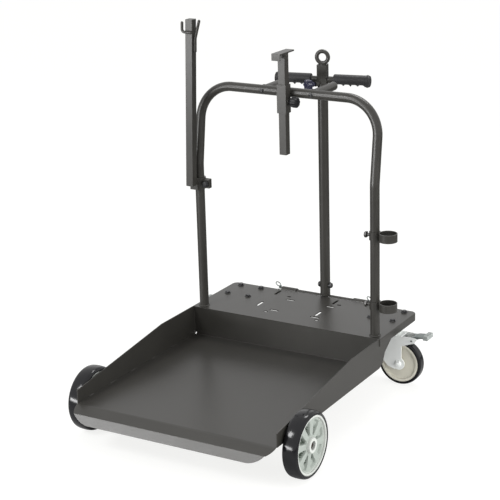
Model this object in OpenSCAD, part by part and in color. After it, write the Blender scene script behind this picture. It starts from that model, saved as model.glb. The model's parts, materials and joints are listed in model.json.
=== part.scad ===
// Four-wheel drum cart: a folded tray with side walls, a slotted rear deck on braked
// swivel casters, a tubular hoop with a drum-rim clamp and hose mast, and a tow bar.
// Millimetres, +Z up. The origin is on the ground at the middle of the cart's outline.
// Inside the modules, y is counted backwards from the front axle.

/* [Tray] */
// Inside width between the two side walls
tray_w = 682; // [600:1:760]
// Top of the tray floor above the ground
floor_z = 132; // [120:1:140]
// Distance from the front axle forward to the fold of the ramp
ramp_fold = 113; // [100:1:120]
// Length of the sloping ramp in front of the fold
ramp_run = 46.2; // [35:0.1:50]
// Slope of the ramp in degrees
ramp_slope = 17.7; // [5:0.1:20]
// Depth of the turned-down lip at the front edge
lip_depth = 29.5; // [20:0.1:32]
// Thickness of the folded sheet
sheet = 3; // [2:0.5:4]
// Height of the front edge of the side walls
wall_front_z = 172; // [150:1:190]
// Height of the level rear part of the side walls
wall_back_z = 229; // [215:1:240]

/* [Deck] */
// Distance from the front axle back to the deck's front edge
deck_front = 535; // [500:1:560]
// Distance from the front axle back to the deck's rear edge
deck_back = 812; // [780:1:830]
// Height of the deck's top face
deck_z = 228; // [215:1:240]
// Depth of the turned-down flange of the deck
flange_depth = 25; // [20:1:30]
// Radius of the deck's rear corners
deck_corner_r = 20; // [16:1:40]
// Width of every slot in the deck
slot_w = 9; // [7:0.5:11]
// End-to-end length of the slots that run across the cart
cross_slot = 34; // [20:1:40]
// End-to-end length of the slots that run along the cart
long_slot = 42; // [20:1:48]

/* [Front wheels] */
// Radius of the front wheels
wheel_r = 100; // [80:1:110]
// Width of the front tyres
wheel_w = 50; // [30:1:50]
// Distance of the wheel's middle from the centre plane
wheel_x = 371; // [371:1:390]
// Radius of the front axle
axle_r = 10; // [8:0.5:12]

/* [Casters] */
// Radius of the caster wheels
caster_r = 75; // [62.5:0.5:80]
// Width of the caster tyres
caster_w = 34; // [24:1:40]
// Distance of the swivel axis from the centre plane
swivel_x = 270; // [250:1:280]
// Distance of the swivel axis behind the front axle
swivel_y = 745; // [740:1:755]
// Horizontal offset from the swivel axis to the wheel's axle
caster_trail = 52; // [40:1:55]
// Bolt spacing of the caster plate across the cart
bolt_dx = 80; // [75:1:84]
// Bolt spacing of the caster plate along the cart
bolt_dy = 88; // [80:1:90]

/* [Hoop] */
// Radius of the hoop's tube
hoop_r = 15; // [12:0.5:17]
// Distance of the hoop's legs from the centre plane
leg_x = 316; // [300:1:325]
// Distance of the legs behind the front axle
leg_y = 562; // [550:1:575]
// Height at which the hoop starts to lean back
lean_z = 715; // [650:1:800]
// Lean of the hoop's upper part in degrees
hoop_lean = 7.8; // [0:0.1:12]
// Length of the leaning part up to the middle of the top bar
lean_run = 257.4; // [200:0.1:300]
// Bend radius of the two knees where the hoop starts to lean
knee_bend = 90; // [60:1:120]
// Bend radius of the hoop's two top corners
hoop_bend = 110; // [80:1:140]

/* [Drum-rim clamp] */
// Side of the square sliding bar
bar_side = 25; // [20:1:30]
// Height of the bar's lower end
bar_low = 777; // [740:1:820]
// Height of the bar's upper end
bar_high = 1097; // [1060:1:1120]
// Side of the square guide sleeve
sleeve_side = 32; // [31:1:36]

/* [Hose mast] */
// Side of the square mast tube
mast_side = 25; // [20:1:30]
// Height of the mast's lower end
mast_low = 649; // [600:1:700]
// Height of the mast's upper end
mast_high = 1190; // [1100:1:1195]
// Sideways lean of the mast in degrees
mast_lean = 2.2; // [0:0.1:5]

/* [Tow bar] */
// Outer radius of the tow bar's tube
tow_r = 17; // [15:0.5:20]
// Distance of the tow bar behind the front axle
tow_y = 826; // [822:1:830]
// Height of the tow bar's hinge axis
hinge_z = 221; // [215:1:225]
// Height of the top of the tow bar's tube
tow_top = 954; // [900:1:954]
// Turn of the tow bar's head about the tube, in degrees
head_turn = 11.5; // [-20:0.5:20]
// Height of the handlebar's axis
handle_z = 967; // [967:1:980]
// Half the length of the handlebar with its grips
handle_half = 159; // [150:1:180]
// Radius of the grips
grip_r = 19; // [17:0.5:20]
// Height of the middle of the towing eye
eye_z = 1040; // [1036:1:1050]

/* [Hidden] */

$fn = 96;
eps = 0.01;
wall_in = tray_w / 2;
wall_out = wall_in + sheet;
deck_half = wall_out + sheet;
floor_low = floor_z - sheet;
lip_front = ramp_fold + ramp_run * cos(ramp_slope) + lip_depth * sin(ramp_slope);
side_trim = 0.3;
corner_r = ramp_run + lip_depth + 0.2;
riser_foot = deck_front + 5;
ramp_end = [-ramp_fold - ramp_run * cos(ramp_slope), floor_z - ramp_run * sin(ramp_slope)];
fold_in = sheet * (sin(ramp_slope) + cos(ramp_slope)) / (1 + sin(2 * ramp_slope));
collar_r = grip_r + 1.5;
grip_end = tow_y + (handle_half - 6) * sin(head_turn) + collar_r * cos(head_turn);
axle_setback = (grip_end - lip_front) / 2;
plate_z = deck_z - flange_depth;
plate_t = 5;
race_low = 185;
pin_r = 7;
running = 0.05;
leg_gap = caster_w / 2 + 4;
leg_t = 4;
caster_z = caster_r;
pedal_x = 98;
pedal_z = 161;
pedal_half = leg_gap - 0.5;
rim_r = wheel_r - 12;
shoulder_r = 11;
slot_cx = [-82, 70];
slot_cy = [620, 730];
long_cx = [-156, 64];
long_cy = [655, 775];
top_y = leg_y + lean_run * sin(hoop_lean);
top_z = lean_z + lean_run * cos(hoop_lean);
peg_x = 87;
ring_x = 361;
ring_h = 26;
ring_z = [328.5, 555];
clamp_y = top_y - hoop_r - sleeve_side / 2 + 2.5;
mast_x = -302;
mast_y = 522;
knob_x = -286;
clamp_z = 946;
foot_bolt_z = 265;
bracket_x = 286;
head_side = 31;
head_top = 1017;
head_knob_z = 956;
head_knob_turn = -120;
bar_bolt_r = 5;
steel = [0.32, 0.31, 0.29];
zinc = [0.8, 0.82, 0.8];
black = [0.08, 0.08, 0.09];

// Moves a shape from the front-axle frame to the cart's own frame.
module behind_axle() {
    translate([0, -axle_setback, 0]) children();
}

// Draws a right-hand shape on the right (1) or mirrored on the left (-1).
module on_side(side) {
    if (side > 0) children();
    if (side < 0) mirror([1, 0, 0]) children();
}

// A rod along X, Y or Z that starts at the given point.
module rod_x(start, length, r) {
    translate(start) rotate([0, 90, 0]) cylinder(h = length, r = r);
}

module rod_y(start, length, r) {
    translate(start) rotate([-90, 0, 0]) cylinder(h = length, r = r);
}

module rod_z(start, length, r) {
    translate(start) cylinder(h = length, r = r);
}

// A hexagon prism along Z with the given width across flats.
module hex_z(start, length, flats) {
    translate(start) cylinder(h = length, r = flats / sqrt(3), $fn = 6);
}

// A flat rectangle with rounded corners, centred on the origin.
module round_rect(width, depth, r) {
    square([width - 2 * r, depth], center = true);
    square([width, depth - 2 * r], center = true);
    for (sx = [-1, 1], sy = [-1, 1])
        translate([sx * (width / 2 - r), sy * (depth / 2 - r)]) circle(r = r);
}

// A slot outline of the given end-to-end length along X.
module slot_outline(length, width) {
    square([length - width, width], center = true);
    for (sx = [-1, 1])
        translate([sx * (length - width) / 2, 0]) circle(d = width);
}

/* ---- tray ---- */

// Side view of the folded sheet: riser, floor, ramp and lip, as y and z pairs.
function tray_profile() = [
    [riser_foot - sheet, deck_z - sheet], [riser_foot - sheet, floor_z], [-ramp_fold, floor_z],
    [ramp_end[0], ramp_end[1]],
    [ramp_end[0] - lip_depth * sin(ramp_slope), ramp_end[1] - lip_depth * cos(ramp_slope)],
    [ramp_end[0] - lip_depth * sin(ramp_slope) + sheet * cos(ramp_slope),
        ramp_end[1] - lip_depth * cos(ramp_slope) - sheet * sin(ramp_slope)],
    [ramp_end[0] + fold_in, ramp_end[1] - fold_in],
    [-ramp_fold + sheet * tan(ramp_slope / 2), floor_low], [riser_foot, floor_low],
    [riser_foot, deck_z - sheet]];

// What is cut off the flat sheet's two front corners, between two distances from the fold.
module corner_waste(from, to) {
    middle = wall_in - corner_r + side_trim;
    for (side = [-1, 1]) on_side(side) difference() {
        translate([middle, from]) square([corner_r + sheet, to - from]);
        translate([middle, 0]) circle(r = corner_r);
    }
}

// The tray floor with its ramp, its lip and the riser up to the deck.
module floor_pan() {
    relief_r = 5;
    color(steel) behind_axle() difference() {
        rotate([90, 0, 90]) translate([0, 0, -wall_in])
            linear_extrude(tray_w) polygon(tray_profile());
        translate([0, -ramp_fold, floor_z]) rotate([ramp_slope, 0, 0]) mirror([0, 1, 0])
            translate([0, 0, -2 * sheet]) linear_extrude(3 * sheet) corner_waste(1, ramp_run);
        translate([0, ramp_end[0], ramp_end[1]]) rotate([90 - ramp_slope, 0, 0])
            mirror([0, 1, 0]) translate([0, -ramp_run, -2 * sheet])
                linear_extrude(3 * sheet) corner_waste(ramp_run, corner_r + sheet);
        for (side = [-1, 1])
            rod_z([side * (wall_in - 1), riser_foot - sheet, floor_low - 1], 12, relief_r);
    }
}

// One side wall: a sheet that rises to the deck and runs back below it.
module side_wall(side) {
    outline = [[-ramp_fold, floor_low], [-ramp_fold, wall_front_z],
        [320, wall_back_z - 3], [345, wall_back_z], [deck_front - 1, wall_back_z],
        [deck_front - 1, deck_z - sheet], [638, deck_z - sheet], [622, 200],
        [576, 170], [560, 140], [riser_foot - sheet, floor_low]];
    color(steel) behind_axle() on_side(side)
        translate([wall_in, 0, 0]) rotate([90, 0, 90])
            linear_extrude(sheet) polygon(outline);
}

/* ---- deck ---- */

module deck_outline(inset) {
    half = deck_half - inset;
    r = deck_corner_r - inset;
    back = deck_back - inset;
    translate([-half, deck_front]) square([2 * half, back - r - deck_front]);
    translate([-half + r, back - r - 1]) square([2 * (half - r), r + 1]);
    for (sx = [-1, 1]) translate([sx * (half - r), back - r]) circle(r = r);
}

module deck_slots() {
    for (x = slot_cx, y = slot_cy) translate([x, y]) slot_outline(cross_slot, slot_w);
    for (x = long_cx, y = long_cy)
        translate([x, y]) rotate(90) slot_outline(long_slot, slot_w);
    for (x = [-101, 88], y = [598, 756]) translate([x, y]) slot_outline(16, slot_w);
}

// Centres of the four bolts of one caster plate.
function caster_bolt_at() = [for (sx = [-1, 1], sy = [-1, 1])
    [swivel_x + sx * bolt_dx / 2, swivel_y + sy * bolt_dy / 2]];

// The deck sheet with its flange, slots and bolt holes.
module deck_plate() {
    color(steel) behind_axle() difference() {
        translate([0, 0, plate_z]) linear_extrude(flange_depth) deck_outline(0);
        translate([0, 0, plate_z - 1]) linear_extrude(flange_depth + 1 - sheet) {
            deck_outline(sheet);
            translate([-wall_out, deck_front - 1]) square([2 * wall_out, 2]);
        }
        translate([0, 0, deck_z - sheet - 1]) linear_extrude(sheet + 2) deck_slots();
        for (side = [-1, 1]) on_side(side) for (p = caster_bolt_at())
            rod_z([p[0], p[1], deck_z - sheet - 1], sheet + 2, 5.3);
    }
}

// The channel that carries a caster plate below the deck.
module caster_pad(side) {
    pad_x = 116;
    pad_y = 108;
    inner_h = flange_depth - 2 * sheet;
    color(steel) behind_axle() on_side(side) difference() {
        translate([swivel_x - pad_x / 2, swivel_y - pad_y / 2, plate_z])
            cube([pad_x, pad_y, flange_depth - sheet]);
        translate([swivel_x - pad_x / 2 + sheet, swivel_y - pad_y, plate_z + sheet])
            cube([pad_x - 2 * sheet, 2 * pad_y, inner_h + sheet]);
        for (p = caster_bolt_at()) rod_z([p[0], p[1], plate_z - 1], sheet + 2, 5.3);
    }
}

/* ---- front axle ---- */

module axle_bracket(side) {
    ear_t = 5;
    ear_w = 56;
    gap = 44;
    low = wheel_r - 20;
    color(steel) behind_axle() on_side(side) difference() {
        union() {
            for (x = [bracket_x, bracket_x + gap]) {
                translate([x, -ear_w / 2, wheel_r]) cube([ear_t, ear_w, floor_low - wheel_r]);
                rod_x([x, 0, wheel_r], ear_t, wheel_r - low);
            }
            translate([bracket_x, -ear_w / 2, floor_low - sheet])
                cube([gap + ear_t, ear_w, sheet]);
        }
        rod_x([bracket_x - 6, 0, wheel_r], gap + 20, axle_r);
    }
}

module front_axle() {
    groove_x = wheel_x + wheel_w / 2 - 9;
    color(zinc) behind_axle() difference() {
        rod_x([-groove_x - 4, 0, wheel_r], 2 * groove_x + 8, axle_r);
        for (side = [-1, 1]) on_side(side) difference() {
            rod_x([groove_x, 0, wheel_r], 1.4, axle_r + 1);
            rod_x([groove_x - 1, 0, wheel_r], 4, axle_r - 1.2);
        }
    }
}

module axle_washers() {
    color(zinc) behind_axle() for (side = [-1, 1]) on_side(side) difference() {
        rod_x([wheel_x - wheel_w / 2 - 5.5, 0, wheel_r], 4, 17);
        rod_x([wheel_x - wheel_w / 2 - 7, 0, wheel_r], 7, axle_r);
    }
}

// Retaining rings that sit in the axle's end grooves inside the hub bores.
module axle_clips() {
    groove_x = wheel_x + wheel_w / 2 - 9;
    color(zinc) behind_axle() for (side = [-1, 1]) on_side(side) difference() {
        rod_x([groove_x + 0.1, 0, wheel_r], 1.2, 13);
        rod_x([groove_x - 1, 0, wheel_r], 4, axle_r - 1.2);
        translate([groove_x - 1, -3, wheel_r]) cube([4, 6, 20]);
    }
}

// The rounded section of a tyre, from its seat radius to its tread radius.
module tyre_section(seat, tread, width, shoulder) {
    translate([seat, -width / 2 + shoulder]) square([tread - seat, width - 2 * shoulder]);
    intersection() {
        translate([seat, -width / 2]) square([tread - seat, width]);
        union() {
            translate([seat, -width / 2]) square([tread - seat - shoulder, width]);
            for (sy = [-1, 1])
                translate([tread - shoulder, sy * (width / 2 - shoulder)]) circle(r = shoulder);
        }
    }
}

module wheel_tyre(side) {
    color(black) behind_axle() on_side(side)
        translate([wheel_x, 0, wheel_r]) rotate([0, 90, 0])
            rotate_extrude() tyre_section(rim_r, wheel_r, wheel_w, shoulder_r);
}

// The moulded hub: rim, ribbed web and boss with the axle bore.
module wheel_hub(side) {
    ribs = 8;
    rib_turn = 34.5;
    boss_r = 23;
    rim_t = 6;
    rib_t = 6;
    web = 6;
    color([0.72, 0.76, 0.72]) behind_axle() on_side(side)
        translate([wheel_x, 0, wheel_r]) rotate([0, 90, 0]) difference() {
            union() {
                rotate_extrude() {
                    translate([rim_r - rim_t, -wheel_w / 2 + 2]) square([rim_t, wheel_w - 4]);
                    translate([boss_r - 5, -web / 2]) square([rim_r - boss_r + 3, web]);
                }
                rod_z([0, 0, -wheel_w / 2 - 1], wheel_w + 2, boss_r);
                for (k = [0:ribs - 1]) rotate(k * 360 / ribs + rib_turn)
                    translate([boss_r - 3, -rib_t / 2, -wheel_w / 2 + 6])
                        cube([rim_r - rim_t - boss_r + 5, rib_t, wheel_w - 12]);
            }
            rod_z([0, 0, -wheel_w], 2 * wheel_w, axle_r + running);
            rod_z([0, 0, wheel_w / 2 - 9.5], wheel_w, 13.5);
        }
}

/* ---- casters ---- */

// Fixed top plate with the upper race and the swivel pin.
module caster_plate(side) {
    color(zinc) behind_axle() on_side(side) translate([swivel_x, swivel_y, 0])
        difference() {
            union() {
                translate([0, 0, plate_z - plate_t])
                    linear_extrude(plate_t) round_rect(105, 111, 12);
                rod_z([0, 0, race_low + 1], plate_z - plate_t - race_low - 1 + eps, 33);
                rod_z([0, 0, 158], 42, pin_r);
                hex_z([0, 0, 160], 6.6, 21);
            }
            for (sx = [-1, 1], sy = [-1, 1])
                rod_z([sx * bolt_dx / 2, sy * bolt_dy / 2, plate_z - 10], 20, 5.3);
        }
}

module caster_bolts() {
    color(black) behind_axle() for (side = [-1, 1]) on_side(side)
        for (p = caster_bolt_at()) {
            rod_z([p[0], p[1], 188], deck_z - 188 + 1, 5);
            hex_z([p[0], p[1], deck_z], 7, 17);
        }
}

module caster_nuts() {
    color(zinc) behind_axle() for (side = [-1, 1]) on_side(side)
        for (p = caster_bolt_at()) difference() {
            hex_z([p[0], p[1], plate_z - plate_t - 8], 8, 17);
            rod_z([p[0], p[1], plate_z - plate_t - 9], 10, 5);
        }
}

// Side view of a fork leg, x counted from the swivel axis.
module leg_outline() {
    difference() {
        union() {
            polygon([[-36, 171], [-6, 83], [14, 62], [38, 54], [62, 62], [62, 137],
                [106, 153], [118, 168], [110, 171]]);
            translate([caster_trail, caster_z]) circle(r = 21);
        }
        translate([caster_trail, caster_z]) circle(r = 6);
    }
}

// Fork: crown with the lower race, two legs and the pedal's cross ears.
module caster_fork(side) {
    color(zinc) behind_axle() on_side(side) translate([swivel_x, swivel_y, 0])
        difference() {
            union() {
                for (sy = [-1, 1])
                    translate([0, sy * (leg_gap + leg_t / 2) + leg_t / 2, 0])
                        rotate([90, 0, 0]) linear_extrude(leg_t) leg_outline();
                translate([-36, -leg_gap - leg_t, 167]) cube([98, 2 * (leg_gap + leg_t), 4]);
                rotate_extrude() polygon([[0, 167], [38, 167], [42, 173], [42, 182],
                    [36, 185.5], [0, 185.5]]);
            }
            rod_z([0, 0, 150], 40, pin_r + running);
            rod_y([pedal_x, -40, pedal_z], 80, 3 + running);
        }
}

module caster_tyre(side) {
    color(black) behind_axle() on_side(side)
        translate([swivel_x + caster_trail, swivel_y, caster_z]) rotate([90, 0, 0])
            rotate_extrude() tyre_section(caster_r - 10, caster_r, caster_w, 7);
}

// Plain wheel disc with a shallow dish and a boss.
module caster_disc(side) {
    seat = caster_r - 10;
    half = caster_w / 2;
    color([0.65, 0.63, 0.58]) behind_axle() on_side(side)
        translate([swivel_x + caster_trail, swivel_y, caster_z]) rotate([90, 0, 0])
            rotate_extrude() polygon([[6.05, -half - 3], [15, -half - 3], [17, -half + 1],
                [seat - 9, -half + 3], [seat - 5, -half], [seat, -half], [seat, half],
                [seat - 5, half], [seat - 9, half - 3], [17, half - 1], [15, half + 3],
                [6.05, half + 3]]);
}

module caster_axle(side) {
    out = leg_gap + leg_t;
    color(zinc) behind_axle() on_side(side)
        translate([swivel_x + caster_trail, swivel_y, caster_z]) rotate([90, 0, 0]) {
            rod_z([0, 0, -out - 9], 2 * out + 9 + eps, 6);
            hex_z([0, 0, out], 7, 19);
            hex_z([0, 0, -out - 8], 8, 19);
        }
}

// Brake lever on a cross pin between the fork legs.
module brake_pedal(side) {
    color([0.55, 0.58, 0.56]) behind_axle() on_side(side)
        translate([swivel_x, swivel_y, 0]) {
            rod_y([pedal_x, -leg_gap - leg_t - 2, pedal_z], 2 * (leg_gap + leg_t + 2), 3);
            translate([0, pedal_half, 0]) rotate([90, 0, 0]) linear_extrude(2 * pedal_half)
                polygon([[pedal_x - 6, pedal_z - 6], [pedal_x + 6, pedal_z - 6],
                    [pedal_x + 14, pedal_z + 8], [pedal_x + 54, pedal_z + 15],
                    [pedal_x + 54, pedal_z + 18], [pedal_x + 12, pedal_z + 14],
                    [pedal_x - 6, pedal_z + 8]]);
        }
}

// Ribbed foot pad at the outer end of the lever, hollow below.
module pedal_pad(side) {
    ribs = 4;
    length = 16;
    half = pedal_half + 1.5;
    rib_w = 5;
    pitch = (2 * half - rib_w - 2) / (ribs - 1);
    color([0.8, 0.81, 0.8]) behind_axle() on_side(side)
        translate([swivel_x + pedal_x + 39, swivel_y, pedal_z + 18]) difference() {
            union() {
                translate([0, -half, -10]) cube([length, 2 * half, 14]);
                for (k = [0:ribs - 1])
                    translate([1, 1 - half + k * pitch, -9]) cube([length, rib_w, 14.2]);
            }
            translate([-1, -pedal_half - 0.1, -7]) cube([length, 2 * pedal_half + 0.2, 7.02]);
            translate([-1, 4 - pedal_half, -11]) cube([length - 2, 2 * pedal_half - 8, 8]);
        }
}

/* ---- hoop ---- */

// One half of the hoop's path, drawn solid with the given radius. Both straight tubes end
// just inside the knee, which is thicker by a hair.
module hoop_half(r, foot) {
    knee = knee_bend * tan(hoop_lean / 2);
    inside = 5;
    lap = 1;
    rod_z([leg_x, leg_y, foot], lean_z - inside - foot, r);
    translate([leg_x, leg_y + knee_bend, lean_z - knee]) rotate([90, 0, -90])
        rotate([0, 0, -lap]) rotate_extrude(angle = hoop_lean + 2 * lap)
            translate([knee_bend, 0]) circle(r = r + 0.1);
    translate([0, leg_y, lean_z]) rotate([-hoop_lean, 0, 0]) {
        rod_z([leg_x, 0, inside], lean_run - hoop_bend - inside, r);
        translate([leg_x - hoop_bend, 0, lean_run - hoop_bend]) rotate([90, 0, 0])
            rotate_extrude(angle = 90) translate([hoop_bend, 0]) circle(r = r);
        rod_x([-1, 0, lean_run], leg_x - hoop_bend + 1, r);
    }
}

module hoop_frame() {
    bore_r = hoop_r - 2.5;
    color(steel) behind_axle() difference() {
        for (side = [-1, 1]) on_side(side) hoop_half(hoop_r, deck_z);
        for (side = [-1, 1]) on_side(side) hoop_half(bore_r, deck_z - 1);
        for (side = [-1, 1]) rod_y([side * peg_x, top_y - 30, top_z], 60, 4.1);
    }
}

// Peg behind the top bar, saddled onto the tube, with a rounded end.
module hose_peg(side) {
    length = 143;
    peg_r = 14;
    color(steel) behind_axle() on_side(side) difference() {
        union() {
            rod_y([peg_x, top_y, top_z], length - 5, peg_r);
            rod_y([peg_x, top_y, top_z], length, peg_r - 5);
            translate([peg_x, top_y + length - 5, top_z]) rotate([-90, 0, 0])
                rotate_extrude() translate([peg_r - 5, 0]) circle(r = 5);
        }
        rod_x([peg_x - 30, top_y, top_z], 60, hoop_r);
        rod_y([peg_x, top_y, top_z], 45, 4);
    }
}

module peg_bolts() {
    color(black) behind_axle() for (side = [-1, 1]) on_side(side) {
        rod_y([peg_x, top_y - hoop_r - 1, top_z], 56, 4);
        rod_y([peg_x, top_y - hoop_r - 5, top_z], 5, 6.5);
    }
}

/* ---- drum-rim clamp ---- */

module clamp_sleeve() {
    slide_gap = 0.3;
    sleeve_low = 910;
    sleeve_h = 90;
    inner = bar_side + 2 * slide_gap;
    color(steel) behind_axle() difference() {
        union() {
            translate([-sleeve_side / 2, clamp_y - sleeve_side / 2, sleeve_low])
                cube([sleeve_side, sleeve_side, sleeve_h]);
            rod_x([sleeve_side / 2 - 1, clamp_y, clamp_z], 5, 10);
        }
        translate([-inner / 2, clamp_y - inner / 2, sleeve_low - 10])
            cube([inner, inner, sleeve_h + 20]);
        rod_x([0, clamp_y, clamp_z], 40, 5 + running);
        rod_x([-40, top_y, top_z], 80, hoop_r);
    }
}

// Square sliding tube, open at its lower end.
module clamp_bar() {
    bore = bar_side - 5;
    color(steel) behind_axle() difference() {
        translate([-bar_side / 2, clamp_y - bar_side / 2, bar_low])
            cube([bar_side, bar_side, bar_high - bar_low]);
        translate([-bore / 2, clamp_y - bore / 2, bar_low - 1])
            cube([bore, bore, bar_high - bar_low + 2]);
    }
}

// Hook plate on the bar: a top plate with a tab that grips the drum's rim.
module rim_hook() {
    front = clamp_y - 46;
    length = 91;
    half_w = 15;
    plate = 5;
    tab = 17;
    color(steel) behind_axle() {
        translate([-half_w, front, bar_high]) cube([2 * half_w, length, plate]);
        translate([-half_w, front, bar_high - tab]) cube([2 * half_w, plate, tab + eps]);
    }
}

// Tapered clamp knob with its screw, on an axis along X.
module clamp_knob() {
    color(black) behind_axle() {
        translate([0, clamp_y, clamp_z]) rotate([0, 90, 0]) rotate_extrude()
            polygon([[0, 21], [8, 21], [10, 24], [14, 26], [17, 32], [17, 46], [14, 50], [0, 50]]);
        rod_x([bar_side / 2 + 0.3, clamp_y, clamp_z], 12, 5);
    }
}

/* ---- hose mast ---- */

// Places a shape in the mast's leaning frame, whose origin is the mast's top.
module mast_frame() {
    translate([mast_x, mast_y, mast_high]) rotate([0, mast_lean, 0]) children();
}

module hose_mast() {
    bore = mast_side - 4;
    length = (mast_high - mast_low) / cos(mast_lean);
    color(steel) behind_axle() difference() {
        mast_frame() difference() {
            translate([-mast_side / 2, -mast_side / 2, -length])
                cube([mast_side, mast_side, length + 3]);
            translate([-bore / 2, -bore / 2, -length - 1]) cube([bore, bore, length - 2]);
        }
        translate([mast_x - 60, mast_y - 60, mast_high]) cube([120, 120, 10]);
    }
}

// Two bent rods welded to the mast's top: a hook on the left, a prong on the right.
module mast_hooks() {
    rod_r = 4.5;
    bend = 9;
    face = mast_side / 2 + rod_r;
    low = -40;
    out = -21;
    color(steel) behind_axle() mast_frame() {
        translate([0, -face, 0]) {
            rod_x([out + bend, 0, low], 10 - out - bend, rod_r);
            translate([out + bend, 0, low + bend]) rotate([90, 180, 0])
                rotate_extrude(angle = 90) translate([bend, 0]) circle(r = rod_r);
            rod_z([out, 0, low + bend], 20, rod_r);
            translate([out, 0, low + bend + 20]) sphere(r = rod_r);
        }
        translate([face, 0, -100]) {
            cylinder(h = 40, r = rod_r);
            translate([0, 0, 40]) rotate([0, 14, 0]) {
                sphere(r = rod_r);
                cylinder(h = 58, r = rod_r);
                translate([0, 0, 58]) sphere(r = rod_r);
            }
        }
    }
}

// Split collar around the hoop's leg with a block that carries the mast.
module mast_clamp() {
    z0 = 632;
    height = 38;
    knob_z = z0 + height / 2;
    block_front = mast_y + mast_side / 2;
    color(steel) behind_axle() difference() {
        union() {
            rod_z([-leg_x, leg_y, z0], height, hoop_r + 5);
            translate([-leg_x - 20, block_front, z0])
                cube([27, leg_y - block_front, height]);
            translate([-leg_x + 10, leg_y - 8, z0 + 4]) cube([30, 16, height - 8]);
        }
        rod_z([-leg_x, leg_y, z0 - 1], height + 2, hoop_r);
        translate([-leg_x + 10, leg_y - 1, z0 - 1]) cube([36, 2, height + 2]);
        rod_y([knob_x, leg_y - 20, knob_z], 40, 4 + running);
    }
}

// Clamp screw with a round hand knob in front of the collar's ears.
module mast_knob() {
    knob_z = 651;
    color(black) behind_axle() {
        rod_y([knob_x, leg_y - 20, knob_z], 36, 4);
        rod_y([knob_x, leg_y - 21, knob_z], 12, 10);
    }
}

/* ---- rings for the gun ---- */

// A ring with its collar on the right leg, about the given middle height; the cup has a floor.
module leg_ring(middle, floor_t) {
    ring_r = 29;
    wall = 3;
    low = middle - ring_h / 2;
    color(steel) behind_axle() difference() {
        union() {
            rod_z([ring_x, leg_y, low], ring_h, ring_r);
            rod_z([leg_x, leg_y, low], ring_h, hoop_r + 3);
        }
        rod_z([ring_x, leg_y, low + floor_t], ring_h + 2, ring_r - wall);
        rod_z([leg_x, leg_y, low - 1], ring_h + 2, hoop_r);
        rod_x([leg_x - hoop_r - 14, leg_y, middle], 20, 5);
    }
}

module gun_ring() {
    leg_ring(ring_z[1], -1);
}

module gun_cup() {
    leg_ring(ring_z[0], 3);
}

// Hexagon screws that hold the two rings on the leg.
module ring_screws() {
    color(black) behind_axle() for (z = ring_z) {
        rod_x([leg_x - hoop_r - 14, leg_y, z], 13, 5);
        translate([leg_x - hoop_r - 20, leg_y, z]) rotate([0, 90, 0]) hex_z([0, 0, 0], 8, 18);
    }
}

/* ---- tow bar ---- */

module hinge_lugs() {
    color(steel) behind_axle() for (side = [-1, 1]) on_side(side) difference() {
        union() {
            rod_x([108, tow_y - 1, hinge_z], 58, 13);
            translate([108, deck_back, hinge_z - 16]) cube([58, 14, 16]);
        }
        rod_x([100, tow_y - 1, hinge_z], 80, 6);
    }
}

module hinge_shaft() {
    color(zinc) behind_axle() difference() {
        rod_x([-182, tow_y - 1, hinge_z], 364, 6);
        for (sx = [-1, 1]) rod_z([sx * 174, tow_y - 1, hinge_z - 10], 20, 2.5);
    }
}

// Lynch pins: a pin through the shaft with a spring ring through its head.
module lynch_pins() {
    ring = 9.5;
    color(zinc) behind_axle() for (sx = [-1, 1]) translate([sx * 174, tow_y - 1, 0]) {
        rod_z([0, 0, hinge_z - 17], 34, 2.5);
        rod_z([0, 0, hinge_z + 6], 9, 4.5);
        translate([0, 0, hinge_z + 14.5 + ring]) rotate([0, 90, 0])
            rotate_extrude() translate([ring, 0]) circle(r = 1.3);
    }
}

// Foot of the tow bar: a cross tube on the shaft and a spigot for the tube.
module tow_foot() {
    color(steel) behind_axle() difference() {
        union() {
            rod_x([-106, tow_y - 1, hinge_z], 212, 10);
            rod_z([0, tow_y, hinge_z + 8], 72, 14);
            rod_z([0, tow_y, hinge_z + 8], 5, tow_r);
        }
        rod_x([-110, tow_y - 1, hinge_z], 220, 6 + running);
        rod_x([-30, tow_y, foot_bolt_z], 60, bar_bolt_r);
    }
}

module tow_tube() {
    foot = hinge_z + 13;
    color(steel) behind_axle() difference() {
        rod_z([0, tow_y, foot], tow_top - foot, tow_r);
        rod_z([0, tow_y, foot - 1], tow_top - foot + 2, tow_r - 3);
        rod_x([-30, tow_y, foot_bolt_z], 60, bar_bolt_r);
    }
}

// Cross bolt that holds the tube on its foot.
module tow_bolt() {
    color(black) behind_axle() {
        rod_x([-22, tow_y, foot_bolt_z], 44, bar_bolt_r);
        for (x = [-25.5, 18])
            translate([x, tow_y, foot_bolt_z]) rotate([0, 90, 0]) hex_z([0, 0, 0], 7.5, 16);
    }
}

// Places a shape in the turned head, centred on the tow bar's axis.
module head_frame() {
    behind_axle() translate([0, tow_y, 0]) rotate([0, 0, head_turn]) children();
}

// Places a shape on the axis of the head's clamp knob, which points along X.
module knob_frame() {
    behind_axle() translate([0, tow_y, head_knob_z]) rotate([0, 0, head_knob_turn]) children();
}

// Square head with a round shank that turns in the tow bar's tube and a boss for the knob.
module tow_head() {
    low = tow_top + 0.3;
    color(steel) difference() {
        union() {
            head_frame() translate([-head_side / 2, -head_side / 2, low])
                cube([head_side, head_side, head_top - low]);
            head_frame() rod_z([0, 0, tow_top - 80], 81, tow_r - 3 - running);
            knob_frame() rod_x([tow_r + 0.5, 0, 0], 12, 9);
        }
        head_frame() rod_x([-40, 0, handle_z], 80, 11);
        knob_frame() rod_x([tow_r + 0.4, 0, 0], 20, 4 + running);
    }
}

module tow_eye() {
    color(steel) head_frame() difference() {
        translate([0, 0, eye_z]) rotate([90, 0, 0])
            rotate_extrude() translate([19, 0]) circle(r = 6.5);
        translate([-30, -30, head_top - 10]) cube([60, 60, 10]);
    }
}

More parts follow.
